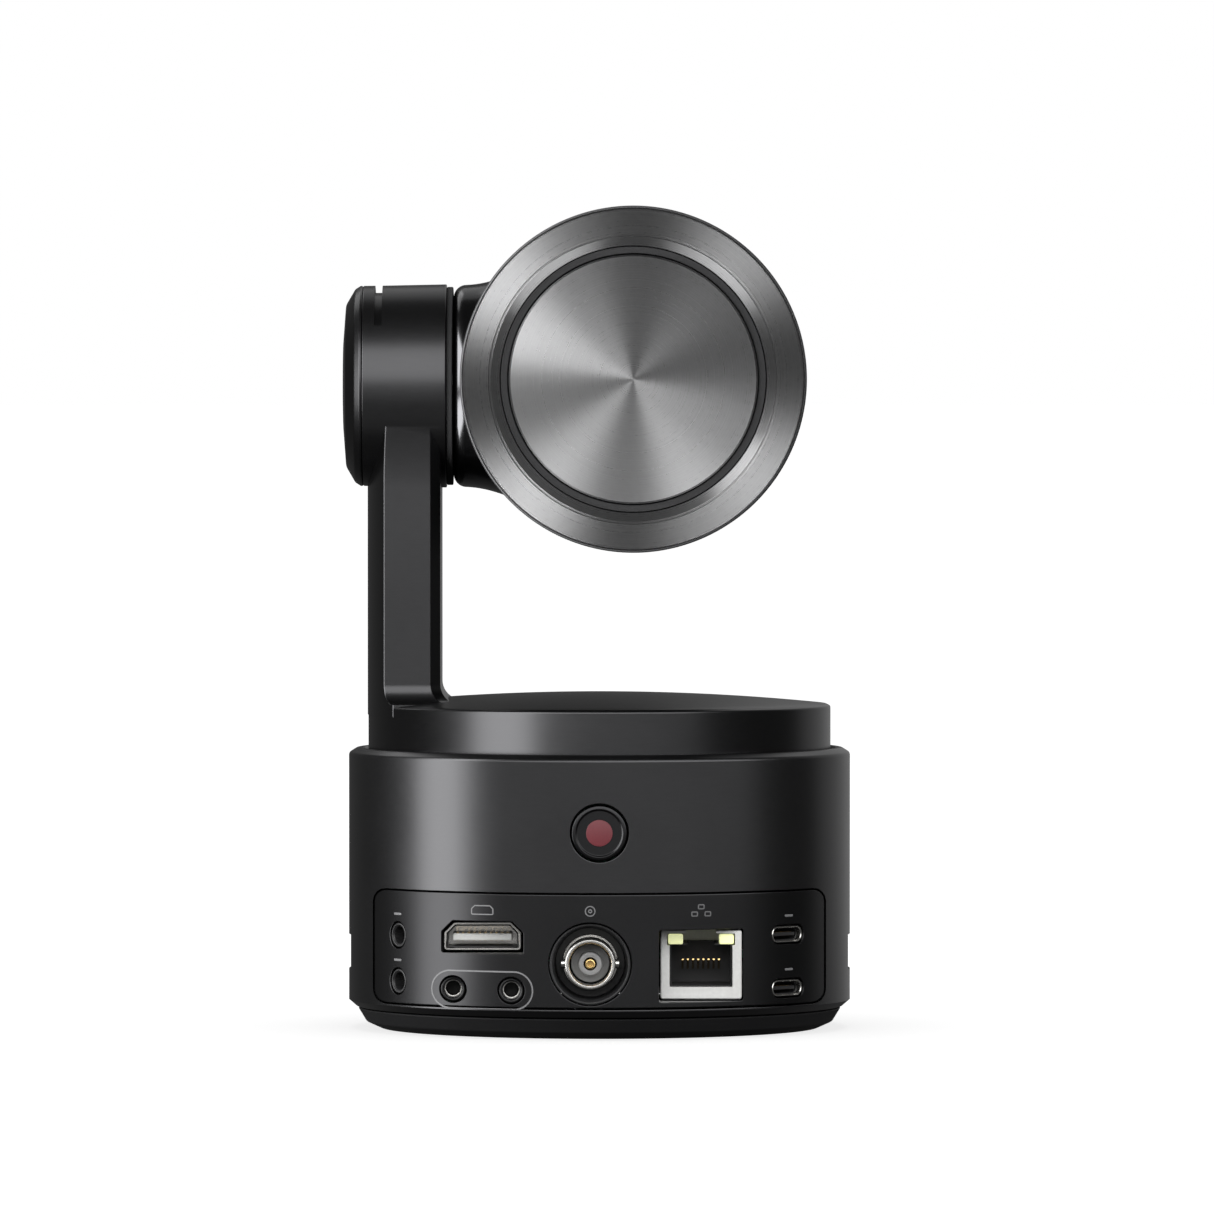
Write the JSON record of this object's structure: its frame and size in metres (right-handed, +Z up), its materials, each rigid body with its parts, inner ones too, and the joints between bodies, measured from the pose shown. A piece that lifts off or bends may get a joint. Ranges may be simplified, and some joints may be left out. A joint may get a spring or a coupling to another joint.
{
  "type": "ptz camera",
  "caption": "Desk-top pan, tilt and roll camera: round base with a connector panel, turntable, single arm and a cylindrical head with a spun-metal back.",
  "frame": {"origin": "on the pan axis, at the surface the foot ring stands on", "axes": "+Z up along the pan axis, +Y the way the lens looks, -Y the connector side, -X the arm side"},
  "size_m": [0.1014, 0.1002, 0.1639],
  "materials": {
    "shell_metal": "dark grey anodised, satin",
    "panel": "dark grey, fine matt",
    "rubber": "near-black, matt",
    "black_plastic": "black, satin",
    "gloss_black": "black, polished",
    "spun_metal": "gunmetal grey, spun with fine concentric lines",
    "steel": "machined",
    "nickel": "nickel plated, satin",
    "brass": "gold plated contact",
    "winding": "enamelled copper wire on a steel core",
    "circuit_board": "green solder mask",
    "white_plastic": "white insulator",
    "lamp": "yellow-green light pipe",
    "glass": "coated optical glass"
  },
  "bodies": {
    "base": {"foot_ring": "rubber", "base_plate": "shell_metal", "tripod_insert": "steel", "base_screw_1": "steel", "base_screw_2": "steel", "base_screw_3": "steel", "base_shell": "shell_metal", "io_panel": "panel", "main_board": "circuit_board", "chassis": "shell_metal", "video_port": "nickel", "network_jack": "nickel", "network_led_left": "lamp", "network_led_right": "lamp", "coax_cup": "black_plastic", "coax_shell": "nickel", "coax_insulator": "white_plastic", "coax_contact": "brass", "usb_c_port_upper": "nickel", "usb_c_port_lower": "nickel", "usb_board": "circuit_board", "audio_jack_upper": "black_plastic", "audio_jack_lower": "black_plastic", "audio_board": "circuit_board", "control_jack_left": "black_plastic", "control_jack_right": "black_plastic", "power_switch": "circuit_board", "pan_stator": "winding", "pan_bearing_outer": "steel"},
    "pan": {"yoke": "shell_metal", "pan_rotor": "steel", "pan_bearing_inner": "steel", "tilt_end_cap": "shell_metal", "tilt_stator": "winding", "tilt_bearing_outer": "steel", "tilt_seal_ring": "black_plastic", "arm_ribbon_cable": "winding"},
    "tilt": {"tilt_rotor": "steel", "tilt_bearing_inner": "steel", "head_housing": "shell_metal", "rear_ring": "spun_metal", "rear_disc": "spun_metal", "roll_stator": "winding", "roll_bearing_outer": "steel"},
    "roll": {"roll_rotor": "steel", "roll_bearing_inner": "steel", "lens_housing": "shell_metal", "front_bezel": "gloss_black", "front_glass": "glass", "lens_barrel": "black_plastic", "front_element": "glass", "guide_rod_1": "steel", "guide_rod_2": "steel", "sensor_board": "circuit_board", "image_sensor": "gloss_black"},
    "zoom": {"zoom_carriage": "black_plastic", "zoom_lens": "glass"},
    "focus": {"focus_carriage": "black_plastic", "focus_lens": "glass"},
    "power_button": {"power_button": "black_plastic"}
  },
  "joints": [
    {"name": "pan", "type": "hinge", "parent": "base", "child": "pan", "pos_m": [0, 0, 0], "axis": [0, 0, 1], "range_deg": [-160, 160]},
    {"name": "tilt", "type": "hinge", "parent": "pan", "child": "tilt", "pos_m": [0, 0, 0.1282], "axis": [1, 0, 0], "range_deg": [-90, 90]},
    {"name": "roll", "type": "hinge", "parent": "tilt", "child": "roll", "pos_m": [0.0067, 0, 0.1296], "axis": [0, 1, 0], "range_deg": [-90, 90]},
    {"name": "zoom", "type": "slide", "parent": "roll", "child": "zoom", "axis": [0, 1, 0], "range_m": [-0.003, 0.007]},
    {"name": "focus", "type": "slide", "parent": "roll", "child": "focus", "axis": [0, 1, 0], "range_m": [-0.0035, 0.002]},
    {"name": "power_press", "type": "slide", "parent": "base", "child": "power_button", "axis": [0, 1, 0], "range_m": [0, 0.0005], "stiffness_N_per_m": 800, "springref_m": -0.0005}
  ]
}
